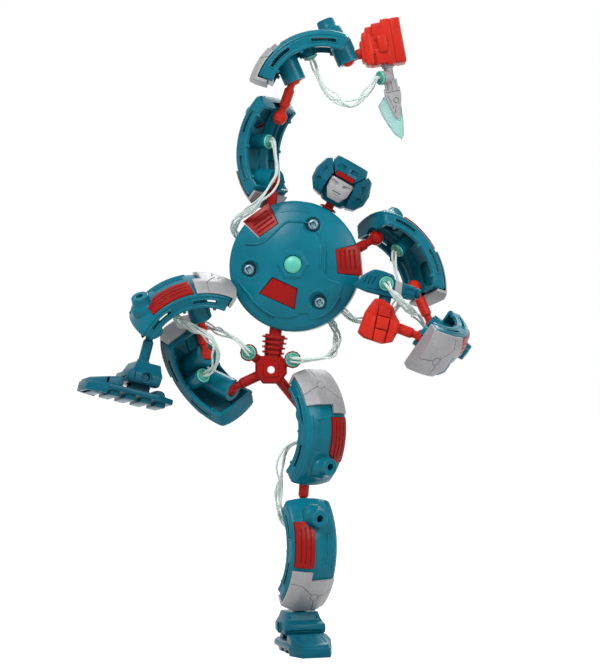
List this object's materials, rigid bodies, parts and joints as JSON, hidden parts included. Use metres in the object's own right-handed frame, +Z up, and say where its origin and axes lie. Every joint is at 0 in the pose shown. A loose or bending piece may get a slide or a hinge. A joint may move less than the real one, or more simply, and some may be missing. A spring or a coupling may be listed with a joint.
{
  "type": "ball-jointed toy robot",
  "caption": "Toy robot of curved limb shells on ball-ended links round a disc torso, with a helmeted head, a dagger, a blaster and clear strands.",
  "frame": {"origin": "middle of the standing foot's sole, on the floor", "axes": "+Z up, the robot faces -Y and its own left is +X"},
  "size_m": [0.2148, 0.0753, 0.3489],
  "materials": {
    "teal_plastic": "moulded in dark teal, satin gloss",
    "deep_teal_plastic": "moulded in deeper teal, satin gloss",
    "red_plastic": "moulded in red, satin gloss",
    "silver_paint": "plastic sprayed silver",
    "mint_rubber": "soft mint-green rubber, glossy",
    "mint_clear_plastic": "pale mint translucent plastic",
    "clear_rubber": "clear elastic strands with mint plugs",
    "steel": "plain steel screw"
  },
  "bodies": {
    "torso": {"torso_front_shell": "teal_plastic", "torso_back_shell": "teal_plastic", "chest_lens": "mint_rubber", "belly_panel": "red_plastic", "torso_screw_1": "steel", "torso_screw_2": "steel", "torso_screw_3": "steel", "shoulder_block_right": "red_plastic", "shoulder_block_left": "red_plastic", "neck": "red_plastic"},
    "head": {"helmet": "teal_plastic", "face": "silver_paint", "face_trim": "red_plastic"},
    "upper_arm_right": {"upper_arm_shell_right": "teal_plastic", "upper_arm_cap_right": "silver_paint", "upper_arm_panel_right": "red_plastic", "strands_right_arm": "clear_rubber"},
    "elbow_link_right": {"elbow_link_right": "red_plastic"},
    "forearm_right": {"forearm_shell_right": "teal_plastic", "forearm_cap_right": "silver_paint", "forearm_panel_right": "red_plastic", "strands_right_forearm": "clear_rubber"},
    "hand_right": {"hand_right": "red_plastic"},
    "dagger": {"dagger_hilt": "silver_paint", "dagger_blade": "mint_clear_plastic"},
    "upper_arm_left": {"upper_arm_shell_left": "teal_plastic", "upper_arm_cap_left": "silver_paint", "upper_arm_panel_left": "red_plastic", "strands_left_arm": "clear_rubber"},
    "elbow_link_left": {"elbow_link_left": "red_plastic"},
    "forearm_left": {"forearm_shell_left": "teal_plastic", "forearm_cap_left": "silver_paint", "forearm_panel_left": "red_plastic", "strands_left_forearm": "clear_rubber"},
    "hand_left": {"hand_left": "red_plastic"},
    "blaster": {"blaster": "deep_teal_plastic"},
    "pelvis": {"pelvis": "red_plastic", "strands_waist": "clear_rubber"},
    "thigh_right": {"thigh_shell_right": "teal_plastic", "thigh_cap_right": "silver_paint", "thigh_panel_right": "red_plastic", "strands_raised_leg": "clear_rubber"},
    "knee_link_right": {"knee_link_right": "red_plastic"},
    "shin_right": {"shin_shell_right": "teal_plastic", "shin_cap_right": "silver_paint", "shin_panel_right": "red_plastic"},
    "ankle_right": {"ankle_right": "teal_plastic"},
    "foot_right": {"foot_right": "teal_plastic"},
    "thigh_left": {"thigh_shell_left": "teal_plastic", "thigh_cap_left": "silver_paint", "thigh_panel_left": "red_plastic", "strands_standing_leg": "clear_rubber"},
    "knee_link_left": {"knee_link_left": "red_plastic"},
    "shin_left": {"shin_shell_left": "teal_plastic", "shin_cap_left": "silver_paint", "shin_panel_left": "red_plastic"},
    "ankle_left": {"ankle_left": "teal_plastic"},
    "foot_left": {"foot_left": "teal_plastic"}
  },
  "joints": [
    {"name": "neck_turn", "type": "hinge", "parent": "torso", "child": "head", "pos_m": [0.01637, 0.00053, 0.24854], "axis": [0.4926, -0.0041, 0.8702], "range_deg": [-50, 50]},
    {"name": "shoulder_right", "type": "hinge", "parent": "torso", "child": "upper_arm_right", "pos_m": [-0.01612, 0.0047, 0.25959], "axis": [-0.6617, -0.7422, 0.1065], "range_deg": [-25, 2], "deforming": ["strands_right_arm"]},
    {"name": "elbow_upper_right", "type": "hinge", "parent": "upper_arm_right", "child": "elbow_link_right", "pos_m": [-0.01262, 0.0047, 0.29441], "axis": [0.6728, 0.7391, 0.0321], "range_deg": [-12, 18]},
    {"name": "elbow_lower_right", "type": "hinge", "parent": "elbow_link_right", "child": "forearm_right", "pos_m": [-0.00512, -0.00304, 0.31529], "axis": [0.4199, 0.8897, 0.1789], "range_deg": [-12, 12]},
    {"name": "wrist_right", "type": "hinge", "parent": "forearm_right", "child": "hand_right", "pos_m": [0.02419, -0.00304, 0.3256], "axis": [0, -1, 0], "range_deg": [-25, 3], "deforming": ["strands_right_forearm"]},
    {"name": "dagger_pull", "type": "slide", "parent": "hand_right", "child": "dagger", "axis": [0.1807, 0, -0.9835], "range_m": [0, 0.008]},
    {"name": "shoulder_left", "type": "hinge", "parent": "torso", "child": "upper_arm_left", "pos_m": [0.04008, 0.0007, 0.22759], "axis": [-0.3859, -0.4307, 0.8158], "range_deg": [-8, 25], "deforming": ["strands_left_arm"]},
    {"name": "elbow_upper_left", "type": "hinge", "parent": "upper_arm_left", "child": "elbow_link_left", "pos_m": [0.06149, 0.00667, 0.20056], "axis": [0.5575, -0.7893, 0.2573], "range_deg": [-25, 5]},
    {"name": "elbow_lower_left", "type": "hinge", "parent": "elbow_link_left", "child": "forearm_left", "pos_m": [0.07134, 0.00667, 0.17922], "axis": [-0.2487, -0.9617, -0.1148], "range_deg": [-25, 25]},
    {"name": "wrist_left", "type": "hinge", "parent": "forearm_left", "child": "hand_left", "pos_m": [0.06428, -0.02296, 0.1731], "axis": [0.5343, -0.2911, 0.7936], "range_deg": [-5, 25], "deforming": ["strands_left_forearm"]},
    {"name": "blaster_pull", "type": "slide", "parent": "hand_left", "child": "blaster", "axis": [0.2, 0, 0.9798], "range_m": [0, 0.008]},
    {"name": "waist_turn", "type": "hinge", "parent": "torso", "child": "pelvis", "pos_m": [-0.01755, 0.00004, 0.15525], "axis": [0.115, 0, 0.9934], "range_deg": [-20, 20], "deforming": ["strands_waist"]},
    {"name": "hip_right", "type": "hinge", "parent": "pelvis", "child": "thigh_right", "pos_m": [-0.04015, 0.00104, 0.14475], "axis": [0.2934, 0.7766, -0.5575], "range_deg": [-20, 2]},
    {"name": "knee_upper_right", "type": "hinge", "parent": "thigh_right", "child": "knee_link_right", "pos_m": [-0.05379, 0.00035, 0.1635], "axis": [-0.7625, -0.5863, -0.2734], "range_deg": [-10, 10], "deforming": ["strands_raised_leg"]},
    {"name": "knee_lower_right", "type": "hinge", "parent": "knee_link_right", "child": "shin_right", "pos_m": [-0.05637, -0.00669, 0.18577], "axis": [-0.3084, 0.853, 0.421], "range_deg": [-12, 4]},
    {"name": "ankle_right", "type": "hinge", "parent": "shin_right", "child": "ankle_right", "pos_m": [-0.08264, -0.0117, 0.1767], "axis": [-0.7193, 0.6695, 0.1854], "range_deg": [-12, 25]},
    {"name": "foot_hinge_right", "type": "hinge", "parent": "ankle_right", "child": "foot_right", "pos_m": [-0.08891, -0.01336, 0.15015], "axis": [0.4208, -0.9016, 0.1002], "range_deg": [-12, 12]},
    {"name": "hip_left", "type": "hinge", "parent": "pelvis", "child": "thigh_left", "pos_m": [0.00226, 0.00574, 0.13075], "axis": [-0.6344, -0.4615, -0.6201], "range_deg": [-25, 3]},
    {"name": "knee_upper_left", "type": "hinge", "parent": "thigh_left", "child": "knee_link_left", "pos_m": [0.00139, 0.00574, 0.10176], "axis": [-0.7984, -0.5995, 0.0559], "range_deg": [-25, 3], "deforming": ["strands_standing_leg"]},
    {"name": "knee_lower_left", "type": "hinge", "parent": "knee_link_left", "child": "shin_left", "pos_m": [-0.00026, 0.00574, 0.07832], "axis": [-0.9003, -0.4307, 0.063], "range_deg": [-25, 3]},
    {"name": "ankle_left", "type": "hinge", "parent": "shin_left", "child": "ankle_left", "pos_m": [-0.00175, 0.00574, 0.04085], "axis": [-0.9026, -0.4305, 0], "range_deg": [-25, 3]},
    {"name": "foot_hinge_left", "type": "hinge", "parent": "ankle_left", "child": "foot_left", "pos_m": [-0.00175, 0.00574, 0.0134], "axis": [0.9563, 0.2924, 0], "range_deg": [-12, 12]}
  ]
}
